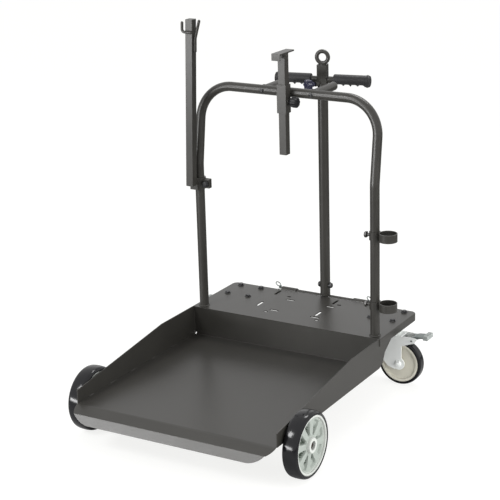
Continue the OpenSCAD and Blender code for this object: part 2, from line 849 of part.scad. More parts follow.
module handlebar() {
    color(steel) head_frame() difference() {
        rod_x([-handle_half + 4, 0, handle_z], 2 * handle_half - 8, 11);
        rod_x([-handle_half, 0, handle_z], 2 * handle_half, 9);
    }
}

// Moulded grip with finger waves below and a thin outer collar.
module grip(side) {
    fingers = 4;
    pitch = 24;
    inner = 38;
    groove_r = 16;
    color(black) head_frame() on_side(side) difference() {
        union() {
            rod_x([inner, 0, handle_z], handle_half - inner, grip_r);
            rod_x([handle_half - 12, 0, handle_z], 6, collar_r);
        }
        rod_x([inner - 1, 0, handle_z], handle_half - inner - 3, 11);
        for (k = [0:fingers - 1])
            rod_y([inner + 20 + k * pitch, -40, handle_z - grip_r - groove_r + 4], 80, groove_r);
    }
}

// Lobed clamp knob on the head with the screw that holds the handlebar.
module head_knob() {
    lobes = 6;
    start = 44;
    height = 22;
    body_r = 13;
    color([0.12, 0.13, 0.2]) knob_frame() {
        rod_x([start - 22, 0, 0], 24, 4);
        rod_x([start - 9, 0, 0], 10, 9);
        translate([start, 0, 0]) rotate([0, 90, 0]) {
            rod_z([0, 0, 0], height, body_r);
            for (k = [0:lobes - 1]) rotate(k * 360 / lobes) rod_z([body_r, 0, 0], height, 5.5);
        }
    }
}

floor_pan();
side_wall(-1);  // side_wall_left
side_wall(1);  // side_wall_right
deck_plate();
caster_pad(-1);  // caster_pad_left
caster_pad(1);  // caster_pad_right
axle_bracket(-1);  // axle_bracket_left
axle_bracket(1);  // axle_bracket_right
front_axle();
axle_washers();
axle_clips();
wheel_tyre(-1);  // wheel_tyre_left
wheel_tyre(1);  // wheel_tyre_right
wheel_hub(-1);  // wheel_hub_left
wheel_hub(1);  // wheel_hub_right
caster_plate(-1);  // caster_plate_left
caster_plate(1);  // caster_plate_right
caster_bolts();
caster_nuts();
caster_fork(-1);  // caster_fork_left
caster_fork(1);  // caster_fork_right
caster_tyre(-1);  // caster_tyre_left
caster_tyre(1);  // caster_tyre_right
caster_disc(-1);  // caster_disc_left
caster_disc(1);  // caster_disc_right
caster_axle(-1);  // caster_axle_left
caster_axle(1);  // caster_axle_right
brake_pedal(-1);  // brake_pedal_left
brake_pedal(1);  // brake_pedal_right
pedal_pad(-1);  // pedal_pad_left
pedal_pad(1);  // pedal_pad_right
hoop_frame();
hose_peg(-1);  // hose_peg_left
hose_peg(1);  // hose_peg_right
peg_bolts();
clamp_sleeve();
clamp_bar();
rim_hook();
clamp_knob();
hose_mast();
mast_hooks();
mast_clamp();
mast_knob();
gun_ring();
gun_cup();
ring_screws();
hinge_lugs();
hinge_shaft();
lynch_pins();
tow_foot();
tow_tube();
tow_bolt();
tow_head();
tow_eye();
handlebar();
grip(-1);  // grip_left
grip(1);  // grip_right
head_knob();
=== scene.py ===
import json
import math

import bmesh
import bpy
from mathutils import Matrix, Vector


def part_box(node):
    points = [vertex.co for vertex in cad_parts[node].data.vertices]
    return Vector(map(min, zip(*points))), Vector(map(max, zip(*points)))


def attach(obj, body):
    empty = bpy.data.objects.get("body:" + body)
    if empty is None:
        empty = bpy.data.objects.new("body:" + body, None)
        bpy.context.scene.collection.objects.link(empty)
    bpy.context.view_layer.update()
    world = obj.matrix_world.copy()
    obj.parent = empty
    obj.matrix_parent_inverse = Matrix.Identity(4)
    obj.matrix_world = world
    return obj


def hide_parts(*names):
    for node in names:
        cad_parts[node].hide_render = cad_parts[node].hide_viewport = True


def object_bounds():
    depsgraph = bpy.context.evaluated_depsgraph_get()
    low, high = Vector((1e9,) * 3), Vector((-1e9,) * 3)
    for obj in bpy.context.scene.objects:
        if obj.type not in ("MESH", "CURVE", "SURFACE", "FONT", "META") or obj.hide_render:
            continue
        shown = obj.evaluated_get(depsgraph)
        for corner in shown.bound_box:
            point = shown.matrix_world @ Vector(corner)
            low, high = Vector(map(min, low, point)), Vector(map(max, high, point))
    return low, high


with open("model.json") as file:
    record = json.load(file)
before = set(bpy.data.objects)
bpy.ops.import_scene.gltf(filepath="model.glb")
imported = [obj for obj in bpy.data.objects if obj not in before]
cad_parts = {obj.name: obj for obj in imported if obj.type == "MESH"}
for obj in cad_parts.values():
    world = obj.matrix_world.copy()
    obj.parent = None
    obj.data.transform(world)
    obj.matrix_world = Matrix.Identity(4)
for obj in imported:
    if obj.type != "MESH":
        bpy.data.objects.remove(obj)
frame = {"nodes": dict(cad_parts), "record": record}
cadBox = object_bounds()
nodes = frame["nodes"]


def addNode(tree, kind, **settings):
    node = tree.nodes.new(kind)
    for name, value in settings.items():
        setattr(node, name, value)
    return node


# links a socket to another one, or sets it to a constant
def feed(tree, source, target):
    if isinstance(source, bpy.types.NodeSocket):
        tree.links.new(source, target)
    else:
        target.default_value = source


def mathNode(tree, operation, a, b):
    node = addNode(tree, "ShaderNodeMath", operation=operation)
    feed(tree, a, node.inputs[0])
    feed(tree, b, node.inputs[1])
    return node.outputs[0]


def noiseNode(tree, coords, scale, detail, roughness=0.5):
    node = addNode(tree, "ShaderNodeTexNoise")
    given = {"Vector": coords, "Scale": scale, "Detail": detail, "Roughness": roughness}
    for label, value in given.items():
        feed(tree, value, node.inputs[label])
    return node.outputs["Fac"]


def rangeNode(tree, value, low, high, toLow=0.0, toHigh=1.0):
    node = addNode(tree, "ShaderNodeMapRange", clamp=True)
    given = {"Value": value, "From Min": low, "From Max": high, "To Min": toLow, "To Max": toHigh}
    for label, number in given.items():
        feed(tree, number, node.inputs[label])
    return node.outputs["Result"]


def mixColour(tree, factor, a, b):
    node = addNode(tree, "ShaderNodeMix", data_type="RGBA")
    sockets = (node.inputs["Factor"], node.inputs[6], node.inputs[7])
    for socket, value in zip(sockets, (factor, a, b)):
        feed(tree, value, socket)
    return node.outputs[2]


def mixShader(tree, factor, a, b):
    node = addNode(tree, "ShaderNodeMixShader")
    for socket, value in zip(node.inputs, (factor, a, b)):
        feed(tree, value, socket)
    return node.outputs[0]


def newGroup(name, inputs, outputs):
    group = bpy.data.node_groups.new(name, "ShaderNodeTree")
    for label, value in inputs.items():
        socket = group.interface.new_socket(label, in_out="INPUT", socket_type="NodeSocketFloat")
        socket.default_value = value
    for label, kind in outputs.items():
        group.interface.new_socket(label, in_out="OUTPUT", socket_type=kind)
    start = group.nodes.new("NodeGroupInput")
    end = group.nodes.new("NodeGroupOutput")
    return group, start.outputs, end.inputs


# worn edges: a normal that turns by more than the flat limit, where the noise is high enough
edge = {"radius": 0.0015, "flat": 0.995, "sharp": 0.9, "scale": 160.0, "bare": 0.42, "full": 0.62}


def makeEdgeWear():
    group, given, result = newGroup(
        "edgeWear", {"Radius": edge["radius"], "Break Scale": edge["scale"]},
        {"Mask": "NodeSocketFloat"})
    rounded = addNode(group, "ShaderNodeBevel", samples=4)
    feed(group, given["Radius"], rounded.inputs["Radius"])
    surface = addNode(group, "ShaderNodeNewGeometry")
    across = addNode(group, "ShaderNodeVectorMath", operation="DOT_PRODUCT")
    feed(group, rounded.outputs["Normal"], across.inputs[0])
    feed(group, surface.outputs["Normal"], across.inputs[1])
    convex = rangeNode(group, across.outputs["Value"], edge["flat"], edge["sharp"])
    coords = addNode(group, "ShaderNodeTexCoord").outputs["Object"]
    broken = noiseNode(group, coords, given["Break Scale"], 4.0)
    patches = rangeNode(group, broken, edge["bare"], edge["full"])
    feed(group, mathNode(group, "MULTIPLY", convex, patches), result["Mask"])
    return group


# fine and coarse surface relief and a slow tone drift
relief = {"coarseShare": 0.8, "driftScale": 5.0, "driftRoughness": 0.55, "driftLow": 0.3,
          "driftHigh": 0.7}


def makeGrain():
    group, given, result = newGroup(
        "surfaceGrain",
        {"Fine Scale": 900.0, "Coarse Scale": 60.0, "Bump": 0.1, "Distance": 0.0004},
        {"Normal": "NodeSocketVector", "Drift": "NodeSocketFloat"})
    coords = addNode(group, "ShaderNodeTexCoord").outputs["Object"]
    fine = noiseNode(group, coords, given["Fine Scale"], 3.0)
    coarse = noiseNode(group, coords, given["Coarse Scale"], 3.0)
    bump = addNode(group, "ShaderNodeBump")
    coarse = mathNode(group, "MULTIPLY", coarse, relief["coarseShare"])
    feed(group, mathNode(group, "ADD", fine, coarse), bump.inputs["Height"])
    feed(group, given["Bump"], bump.inputs["Strength"])
    feed(group, given["Distance"], bump.inputs["Distance"])
    feed(group, bump.outputs["Normal"], result["Normal"])
    drift = noiseNode(group, coords, relief["driftScale"], 4.0, relief["driftRoughness"])
    feed(group, drift, result["Drift"])
    return group


edgeWear = makeEdgeWear()
surfaceGrain = makeGrain()


def useGroup(tree, group, values):
    node = addNode(tree, "ShaderNodeGroup", node_tree=group)
    for label, value in values.items():
        node.inputs[label].default_value = value
    return node.outputs


def newMaterial(name, roughness, metallic=0.0, specular=0.5):
    material = bpy.data.materials.new(name)
    material.use_nodes = True
    tree = material.node_tree
    shader = tree.nodes["Principled BSDF"]
    shader.inputs["Roughness"].default_value = roughness
    shader.inputs["Metallic"].default_value = metallic
    shader.inputs["Specular IOR Level"].default_value = specular
    return material, tree, shader.inputs


def grain(fine, coarse, bump, distance=0.0002):
    return {"Fine Scale": fine, "Coarse Scale": coarse, "Bump": bump, "Distance": distance}


# a surface with relief, slow tone drift, roughness within a spread of its mean, and worn edges
def grainyMaterial(name, colour, wornColour, roughness, spread, grained, wear, drift=0.12,
                   **shader):
    material, tree, sockets = newMaterial(name, roughness, **shader)
    surface = useGroup(tree, surfaceGrain, grained)
    worn = useGroup(tree, edgeWear, {})
    low, high = relief["driftLow"], relief["driftHigh"]
    darker = tuple(c * (1 - drift) for c in colour) + (1.0,)
    lighter = tuple(min(1.0, c * (1 + drift)) for c in colour) + (1.0,)
    tone = mixColour(tree, rangeNode(tree, surface["Drift"], low, high), darker, lighter)
    mask = mathNode(tree, "MULTIPLY", worn["Mask"], wear)
    feed(tree, mixColour(tree, mask, tone, wornColour + (1.0,)), sockets["Base Color"])
    varied = rangeNode(tree, surface["Drift"], low, high, roughness - spread, roughness + spread)
    feed(tree, varied, sockets["Roughness"])
    feed(tree, surface["Normal"], sockets["Normal"])
    return material


steelGrain = grain(500.0, 40.0, 0.08, 0.0003)
plasticGrain = grain(800.0, 70.0, 0.08)
moulded = grain(900.0, 150.0, 0.12)

framePaint = grainyMaterial(
    "framePaint", (0.029, 0.0277, 0.0245), (0.08, 0.077, 0.07), 0.33, 0.03,
    grain(420.0, 90.0, 0.16, 0.0003), wear=0.45, specular=0.39)
zinc = grainyMaterial(
    "zinc", (0.88, 0.9, 0.88), (0.92, 0.92, 0.91), 0.3, 0.08,
    steelGrain, wear=0.4, drift=0.08, metallic=0.08)
pedalSteel = grainyMaterial(
    "pedalSteel", (0.12, 0.145, 0.138), (0.6, 0.62, 0.6), 0.3, 0.08,
    steelGrain, wear=0.8, drift=0.2, metallic=0.6)
axleSteel = grainyMaterial(
    "axleSteel", (0.03, 0.02, 0.016), (0.12, 0.1, 0.09), 0.42, 0.08,
    grain(500.0, 40.0, 0.1, 0.0003), wear=0.6, metallic=0.4)
darkScrew = grainyMaterial(
    "darkScrew", (0.02, 0.02, 0.021), (0.16, 0.16, 0.16), 0.34, 0.08,
    moulded, wear=0.5, metallic=0.4)
treadRubber = grainyMaterial(
    "treadRubber", (0.007, 0.007, 0.008), (0.02, 0.02, 0.02), 0.15, 0.04,
    grain(900.0, 60.0, 0.06, 0.0003), wear=0.2, specular=0.3)
gripRubber = grainyMaterial(
    "gripRubber", (0.024, 0.024, 0.025), (0.05, 0.05, 0.05), 0.42, 0.06,
    grain(1100.0, 200.0, 0.25, 0.0003), wear=0.4, specular=0.25)
hubPlastic = grainyMaterial(
    "hubPlastic", (0.3, 0.33, 0.3), (0.6, 0.64, 0.6), 0.36, 0.06,
    plasticGrain, wear=0.4, drift=0.06)
# lighter copy of the hub plastic: painted highlight for the rim's lip and the boss's end
hubPaintedHighlight = grainyMaterial(
    "hubPaintedHighlight", (0.5, 0.52, 0.49), (0.6, 0.62, 0.6), 0.34, 0.06,
    plasticGrain, wear=0.4, drift=0.06)
# darker copy of the hub plastic: painted shade for the inner ends of the wheel's pockets
hubPaintedShade = grainyMaterial(
    "hubPaintedShade", (0.08, 0.1, 0.08), (0.3, 0.34, 0.3), 0.42, 0.06,
    plasticGrain, wear=0.4, drift=0.06)
discPlastic = grainyMaterial(
    "discPlastic", (0.62, 0.6, 0.51), (0.72, 0.71, 0.66), 0.4, 0.06,
    plasticGrain, wear=0.4, drift=0.08)
padPlastic = grainyMaterial(
    "padPlastic", (0.26, 0.28, 0.27), (0.75, 0.76, 0.75), 0.4, 0.08,
    grain(900.0, 100.0, 0.1), wear=0.4)
blackKnob = grainyMaterial(
    "blackKnob", (0.007, 0.007, 0.008), (0.03, 0.03, 0.03), 0.45, 0.05,
    grain(900.0, 150.0, 0.15), wear=0.3, specular=0.3)
blueKnob = grainyMaterial(
    "blueKnob", (0.014, 0.014, 0.034), (0.14, 0.14, 0.2), 0.34, 0.06,
    moulded, wear=0.6)

slotMaterials = {
    "frame_paint": framePaint,
    "zinc": zinc,
    "tread_rubber": treadRubber,
    "hub_plastic": hubPlastic,
    "disc_plastic": discPlastic,
    "grip_rubber": gripRubber,
    "black_knob": blackKnob,
    "blue_knob": blueKnob,
    "pad_plastic": padPlastic,
    "dark_screw": darkScrew,
}
nodeSlots = {s["node"]: s["material_slot"] for s in frame["record"]["subparts"]}

for name, obj in nodes.items():
    obj.data.materials.clear()
    obj.data.materials.append(slotMaterials[nodeSlots[name]])
print("materials done")

# from here lengths are millimetres, and y counts back from the middle of the front axle
mm = 0.001
axleY = sum(corner.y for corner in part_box("front_axle")) / 2 / mm
sideX = (1, 0, 0)
backY = (0, 1, 0)
upZ = (0, 0, 1)


def opposite(axis):
    return tuple(-a for a in axis)


def perpendiculars(axis):
    w = Vector(axis).normalized()
    helper = Vector(upZ) if abs(w.z) < 0.9 else Vector(backY)
    u = helper.cross(w).normalized()
    return u, w.cross(u), w


# angles of a full turn in equal steps
def around(count):
    return [2 * math.pi * k / count for k in range(count)]


# points of an arc as (radius, height) pairs; angles in degrees from the radius direction
def arc(centre, radius, start, end, count=10):
    steps = (math.radians(start + (end - start) * k / count) for k in range(count + 1))
    return [(centre[0] + radius * math.cos(a), centre[1] + radius * math.sin(a)) for a in steps]


# the profile and its mirror copy at the other side of height 0
def bothFaces(profile):
    return profile + [(radius, -height) for radius, height in reversed(profile)]


def circle(centre, axis, radius, count=48):
    u, v, w = perpendiculars(axis)
    return [Vector(centre) + (u * math.cos(a) + v * math.sin(a)) * radius for a in around(count)]


# puts one finished part into a piece's mesh
def join(bm, part):
    mesh = bpy.data.meshes.new("part")
    part.to_mesh(mesh)
    part.free()
    bm.from_mesh(mesh)
    bpy.data.meshes.remove(mesh)


# spins (radius, height) pairs about an axis; swell changes a radius and rise a height, by angle
def lathe(bm, profile, origin, axis=upZ, sides=64, closed=False, swell=None, rise=None):
    origin = Vector(origin)
    u, v, w = perpendiculars(axis)
    part = bmesh.new()
    corners = [part.verts.new(origin + u * radius + w * height) for radius, height in profile]
    edges = [part.edges.new(pair) for pair in zip(corners, corners[1:])]
    if closed:
        edges.append(part.edges.new((corners[-1], corners[0])))
    bmesh.ops.spin(part, geom=corners + edges, cent=origin, axis=w, dvec=(0, 0, 0),
                   angle=2 * math.pi, steps=sides, use_merge=True, use_duplicate=False)
    bmesh.ops.remove_doubles(part, verts=part.verts, dist=0.0005)
    if swell or rise:
        for vert in part.verts:
            spot = vert.co - origin
            height = spot.dot(w)
            out = spot - w * height
            radius = out.length
            if radius > 0.001:
                angle = math.atan2(out.dot(v), out.dot(u))
                wanted = swell(angle, radius, height) if swell else radius
                lift = math.copysign(rise(angle, radius), height) if rise else height
                vert.co = origin + w * lift + out * (wanted / radius)
    join(bm, part)


domeAngles = [math.radians(a) for a in (22, 45, 66, 84)]


# round bar along a path; radius is a number or one number per point
def tube(bm, path, radius, sides=20, closed=False, domed=False):
    path = [Vector(p) for p in path]
    radii = list(radius) if isinstance(radius, list) else [radius] * len(path)
    if domed:
        first, last = (path[0] - path[1]).normalized(), (path[-1] - path[-2]).normalized()
        head = [(path[0] + first * radii[0] * math.sin(a), radii[0] * math.cos(a))
                for a in domeAngles]
        tail = [(path[-1] + last * radii[-1] * math.sin(a), radii[-1] * math.cos(a))
                for a in domeAngles]
        path = [p for p, r in reversed(head)] + path + [p for p, r in tail]
        radii = [r for p, r in reversed(head)] + radii + [r for p, r in tail]
    count = len(path)
    tangents = []
    for i in range(count):
        before = path[i - 1] if closed or i else path[i]
        after = path[(i + 1) % count] if closed or i < count - 1 else path[i]
        tangents.append((after - before).normalized())
    normal = perpendiculars(tangents[0])[0]
    part = bmesh.new()
    ring, earlier = [], None
    for i in range(count):
        if i:
            normal = (tangents[i - 1].rotation_difference(tangents[i]) @ normal).normalized()
        section = Matrix((normal, tangents[i].cross(normal), tangents[i])).transposed().to_4x4()
        section = Matrix.Translation(path[i]) @ section @ Matrix.Scale(radii[i], 4)
        if i:
            made = bmesh.ops.extrude_edge_only(part, edges=ring)["geom"]
            ring = [e for e in made if isinstance(e, bmesh.types.BMEdge) and len(e.link_faces) == 1]
            moved = {vert for e in ring for vert in e.verts}
            bmesh.ops.transform(part, matrix=section @ earlier.inverted(), verts=list(moved))
        else:
            bmesh.ops.create_circle(part, segments=sides, radius=1.0, matrix=section)
            ring = part.edges[:]
        earlier = section
    rims = [e for e in part.edges if len(e.link_faces) == 1]
    if closed:
        bmesh.ops.bridge_loops(part, edges=rims)
    else:
        bmesh.ops.holes_fill(part, edges=rims, sides=0)
    join(bm, part)


# straight runs between corners, joined by arcs; step is the arcs' pitch in degrees
def bentPath(corners, radii, step):
    corners = [Vector(c) for c in corners]
    points = [corners[0]]
    for before, corner, after, radius in zip(corners, corners[1:], corners[2:], radii):
        u, v = (before - corner).normalized(), (after - corner).normalized()
        angle = math.pi - u.angle(v)
        start = corner + u * radius * math.tan(angle / 2)
        end = corner + v * radius * math.tan(angle / 2)
        centre = corner + (u + v).normalized() * radius / math.cos(angle / 2)
        axis = (start - centre).cross(end - centre).normalized()
        count = max(3, int(math.degrees(angle) / step))
        for k in range(count + 1):
            points.append(centre + Matrix.Rotation(angle * k / count, 3, axis) @ (start - centre))
    points.append(corners[-1])
    return points


# the path in equal steps
def resampled(path, pitch, closed):
    path = [Vector(p) for p in path] + ([Vector(path[0])] if closed else [])
    lengths = [(b - a).length for a, b in zip(path, path[1:])]
    total = sum(lengths)
    count = max(4, round(total / pitch))
    points = []
    for k in range(count if closed else count + 1):
        left = total * k / count
        for a, b, length in zip(path, path[1:], lengths):
            if left <= length or b is path[-1] and a is path[-2]:
                points.append(a.lerp(b, min(1.0, left / max(length, 1e-9))))
                break
            left -= length
    return points


# rippled weld bead along a path
bead = {"pitch": 1.3, "stepsPerRipple": 3.6, "ripple": 0.16, "uneven": 0.07, "sides": 8}


def weld(bm, path, size, closed=False):
    points = resampled(path, bead["pitch"], closed)
    count = len(points)
    ripples = max(1, round(count / bead["stepsPerRipple"]))
    radii = [size * (1 + bead["ripple"] * math.sin(2 * math.pi * ripples * k / count)
                     + bead["uneven"] * math.sin(5.1 * k + 0.7)) for k in range(count)]
    tube(bm, points, radii, sides=bead["sides"], closed=closed)


# chamfered hexagon head, on a washer if one is given
def hexHead(bm, origin, axis, flats, height, washer=0.0):
    r = flats / math.sqrt(3)
    c = height * 0.22
    lathe(bm, [(0, 0), (r, 0), (r, height - c), (r - c * 1.3, height), (0, height)],
          origin, axis, sides=6)
    if washer:
        rim = [(r * 1.16, 0), (r * 1.16, washer * 0.7), (r * 1.08, washer)]
        lathe(bm, [(0, 0)] + rim + [(0, washer)], origin, axis, sides=40)


# rounds the chosen edges that are sharper than an angle
def roundEdges(bm, width, segments, angle, choose=None):
    edges = [e for e in bm.edges if len(e.link_faces) == 2
             and e.calc_face_angle(0.0) > math.radians(angle) and (choose is None or choose(e))]
    bmesh.ops.bevel(bm, geom=edges, offset=width, offset_type="OFFSET", segments=segments,
                    profile=0.5, affect="EDGES", clamp_overlap=True, material=-1)


weldDistance = 0.002
flatLimit = math.radians(0.6)


# the CAD solid in millimetres with its flat faces whole
def copyOf(nodeName):
    bm = bmesh.new()
    bm.from_mesh(nodes[nodeName].data)
    bm.transform(Matrix.Translation((0, -axleY, 0)) @ Matrix.Scale(1 / mm, 4))
    bmesh.ops.remove_doubles(bm, verts=bm.verts, dist=weldDistance)
    bmesh.ops.dissolve_limit(bm, angle_limit=flatLimit, verts=bm.verts, edges=bm.edges)
    return bm


# finishes a mesh given in millimetres, links it under its body and hides the parts it replaces
def addPiece(name, bm, slotName, body, *replaced, mirror=False, smooth=38.0, material=None,
             more=()):
    if mirror:
        bm.transform(Matrix.Scale(-1.0, 4, sideX))
    bm.transform(Matrix.Scale(mm, 4) @ Matrix.Translation((0, axleY, 0)))
    bmesh.ops.recalc_face_normals(bm, faces=bm.faces)
    limit = math.radians(smooth)
    for face in bm.faces:
        face.smooth = True
    for e in bm.edges:
        e.smooth = len(e.link_faces) == 2 and e.calc_face_angle(0.0) < limit
    mesh = bpy.data.meshes.new(name)
    bm.to_mesh(mesh)
    bm.free()
    piece = bpy.data.objects.new(name, mesh)
    bpy.context.scene.collection.objects.link(piece)
    for shader in (material or slotMaterials[slotName], *more):
        mesh.materials.append(shader)
    normals = piece.modifiers.new("normals", "WEIGHTED_NORMAL")
    normals.keep_sharp = True
    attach(piece, body)
    if replaced:
        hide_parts(*replaced)


roundingAngle = 32.0


# a copy of a node with rounded edges, in the node's place
def refined(nodeName, width, segments=2, body="frame", material=None):
    bm = copyOf(nodeName)
    roundEdges(bm, width, segments, roundingAngle)
    addPiece(nodeName + ".round", bm, nodeSlots[nodeName], body, nodeName, material=material)


# bent tube frame; its legs lean back above leanZ, over the run's length
hoop = {"r": 15.0, "legX": 316.0, "legY": 562.0, "deckZ": 228.0, "leanZ": 715.0,
        "lean": math.radians(7.8), "run": 257.4, "knee": 90.0, "bend": 110.0, "weld": 2.6}
hoop["topY"] = hoop["legY"] + hoop["run"] * math.sin(hoop["lean"])
hoop["topZ"] = hoop["leanZ"] + hoop["run"] * math.cos(hoop["lean"])


def makeHoop():
    x, y, z = hoop["legX"], hoop["legY"], hoop["deckZ"]
    corners = [(x, y, z), (x, y, hoop["leanZ"]), (x, hoop["topY"], hoop["topZ"])]
    corners += [(-px, py, pz) for px, py, pz in reversed(corners)]
    path = bentPath(corners, [hoop["knee"], hoop["bend"], hoop["bend"], hoop["knee"]], 3.0)
    bm = bmesh.new()
    tube(bm, path, hoop["r"], sides=48)
    addPiece("hoop.tube", bm, "frame_paint", "frame", "hoop_frame")
    bm = bmesh.new()
    for side in (-1, 1):
        foot = circle((side * x, y, z + 0.8), upZ, hoop["r"] + 0.6)
        weld(bm, foot, hoop["weld"], closed=True)
    addPiece("hoop.welds", bm, "frame_paint", "frame")


peg = {"x": 87.0, "r": 14.0, "start": 3.0, "length": 143.0, "round": 5.0, "weld": 2.0}
pegBolt = [(0, 0), (7.2, 0), (7.2, 0.9), (6.3, 1.2), (6.3, 2.6), (5.4, 4.0), (3.2, 4.6), (2.7, 4.5),
           (2.7, 2.4), (0, 2.2)]


def makePegs():
    r, c, end = peg["r"], peg["round"], peg["length"]
    profile = [(0, peg["start"]), (r, peg["start"]), (r, end - c)]
    profile += arc((r - c, end - c), c, 18, 90, 4) + [(0, end)]
    for side, name in ((-1, "left"), (1, "right")):
        x, y, z = side * peg["x"], hoop["topY"], hoop["topZ"]
        bm = bmesh.new()
        lathe(bm, profile, (x, y, z), backY)
        saddle = []
        for a in around(64):
            across, up = (r + 0.5) * math.cos(a), (r + 0.5) * math.sin(a)
            depth = math.sqrt(max(0.0, hoop["r"] ** 2 - up * up)) + 0.6
            saddle.append((x + across, y + depth, z + up))
        weld(bm, saddle, peg["weld"], closed=True)
        addPiece("hose_peg_" + name + ".round", bm, "frame_paint", "frame", "hose_peg_" + name)
    bm = bmesh.new()
    for side in (-1, 1):
        front = (side * peg["x"], hoop["topY"] - hoop["r"] + 0.2, hoop["topZ"])
        lathe(bm, pegBolt, front, opposite(backY), sides=40)
    addPiece("peg_bolts.heads", bm, "dark_screw", "frame", "peg_bolts")


makeHoop()
makePegs()
print("hoop done")

# plain steel parts of the frame that only need rounded edges
roundings = {
    "side_wall_left": 0.9, "side_wall_right": 0.9, "caster_pad_left": 0.8, "caster_pad_right": 0.8,
    "axle_bracket_left": 0.8, "axle_bracket_right": 0.8,
    "clamp_sleeve": 1.2, "hose_mast": 1.8, "mast_clamp": 1.0,
    "gun_ring": 0.8, "gun_cup": 0.8, "hinge_lugs": 0.9, "hinge_shaft": 0.8,
}
for nodeName, width in roundings.items():
    refined(nodeName, width)
refined("front_axle", 0.7, material=axleSteel)
refined("axle_washers", 0.5, material=axleSteel)
refined("clamp_bar", 1.2, body="rim_clamp")
refined("rim_hook", 0.9, body="rim_clamp")
refined("tow_foot", 0.9, body="tow_bar")
refined("tow_head", 2.2, 3, body="tow_handle")
print("plain steel done")

tray = {"half": 341.0, "floorZ": 132.0, "deckFront": 535.0, "deckZ": 228.0, "foldLength": 400.0,
        "foldRadius": 2.6, "edge": 0.5}


def makeTray():
    bm = copyOf("floor_pan")

    def isFold(e):
        a, b = (v.co for v in e.verts)
        return (abs(a.x - b.x) > tray["foldLength"] and abs(a.y - b.y) < 0.1
                and abs(a.z - b.z) < 0.1 and a.z < tray["floorZ"] + 1)

    roundEdges(bm, tray["foldRadius"], 4, 20, choose=isFold)
    roundEdges(bm, tray["edge"], 2, 40)
    addPiece("floor_pan.round", bm, "frame_paint", "frame", "floor_pan")


# the deck's outer fold lies beyond rimX or rimY, and at the cut corners beyond both cornerX and
# cornerY
deck = {"rimX": 346.5, "rimY": 811.5, "cornerX": 325.0, "cornerY": 790.0, "foldRadius": 3.2}


def makeDeck():
    bm = copyOf("deck_plate")

    def isRim(e):
        a, b = (v.co for v in e.verts)
        middle = (a + b) / 2
        onTop = abs(a.z - tray["deckZ"]) < 0.05 and abs(b.z - tray["deckZ"]) < 0.05
        atCorner = middle.y > deck["cornerY"] and abs(middle.x) > deck["cornerX"]
        outer = abs(middle.x) > deck["rimX"] or middle.y > deck["rimY"] or atCorner
        return onTop and outer and middle.y > tray["deckFront"] + 1

    roundEdges(bm, deck["foldRadius"], 4, 30, choose=isRim)
    roundEdges(bm, tray["edge"], 2, 40)
    addPiece("deck_plate.round", bm, "frame_paint", "frame", "deck_plate")


# weld beads where the tray's sheets meet: stitches on the floor and riser, a seam at the deck
seam = {"first": -60, "last": 500, "pitch": 112, "run": 26, "size": 1.5,
        "riserY": 537.0, "riserLows": (146, 190), "riserRun": 20,
        "cornerX": 344.4, "cornerY": 534.6, "cornerLow": 204.0, "cornerHigh": 226.4,
        "cornerSize": 1.9}


def makeSeams():
    floorZ, riserY = tray["floorZ"], seam["riserY"]
    bm = bmesh.new()
    for side in (-1, 1):
        x = side * (tray["half"] - 0.2)
        for start in range(seam["first"], seam["last"], seam["pitch"]):
            weld(bm, [(x, start, floorZ), (x, start + seam["run"], floorZ)], seam["size"])
        for low in seam["riserLows"]:
            weld(bm, [(x, riserY, low), (x, riserY, low + seam["riserRun"])], seam["size"])
        x, y = side * seam["cornerX"], seam["cornerY"]
        weld(bm, [(x, y, seam["cornerLow"]), (x, y, seam["cornerHigh"])], seam["cornerSize"])
    addPiece("tray.welds", bm, "frame_paint", "frame")


makeTray()
makeDeck()
makeSeams()
print("tray done")

wheel = {"x": 371.0, "z": 100.0, "r": 100.0, "half": 25.0, "rim": 88.0, "shoulder": 11.0,
         "crown": 217.0}
# web and boss of the front wheel; the web stands at "face" and sinks into a pocket between ribs.
# pairs of numbers are the radii where a change starts and ends; faces lower than shadeDepth inside
# shadeRadius get the painted shade
hub = {"boss": 23.0, "bore": 10.05, "recess": 13.5, "recessDepth": 9.5, "face": 17.0,
       "ribs": 8, "firstPocket": math.radians(12), "depth": 14.0, "outerRise": 7.0, "petal": 1.4,
       "narrow": 0.075, "widening": 0.1, "blend": 3.0, "pocketStart": (30, 35),
       "pocketEnd": (70, 75), "widens": (30, 62), "rises": (46, 68), "petals": (30, 50),
       "shadeDepth": 8.0, "shadeRadius": 54.0}


def smoothStep(x, low, high):
    t = min(1.0, max(0.0, (x - low) / (high - low)))
    return t * t * (3 - 2 * t)


# height of the hub's web at one spot
def webHeight(angle, radius):
    pitch = 2 * math.pi / hub["ribs"]
    off = abs(((angle - hub["firstPocket"]) / pitch + 0.5) % 1.0 - 0.5) * pitch
    width = hub["narrow"] + hub["widening"] * smoothStep(radius, *hub["widens"])
    pocket = 1 - smoothStep(off, width, width + hub["blend"] / radius)
    pocket *= smoothStep(radius, *hub["pocketStart"])
    pocket *= 1 - smoothStep(radius, *hub["pocketEnd"])
    petal = hub["petal"] * math.cos(4 * off) * smoothStep(radius, *hub["petals"])
    depth = hub["depth"] - hub["outerRise"] * smoothStep(radius, *hub["rises"])
    return hub["face"] - petal - depth * pocket


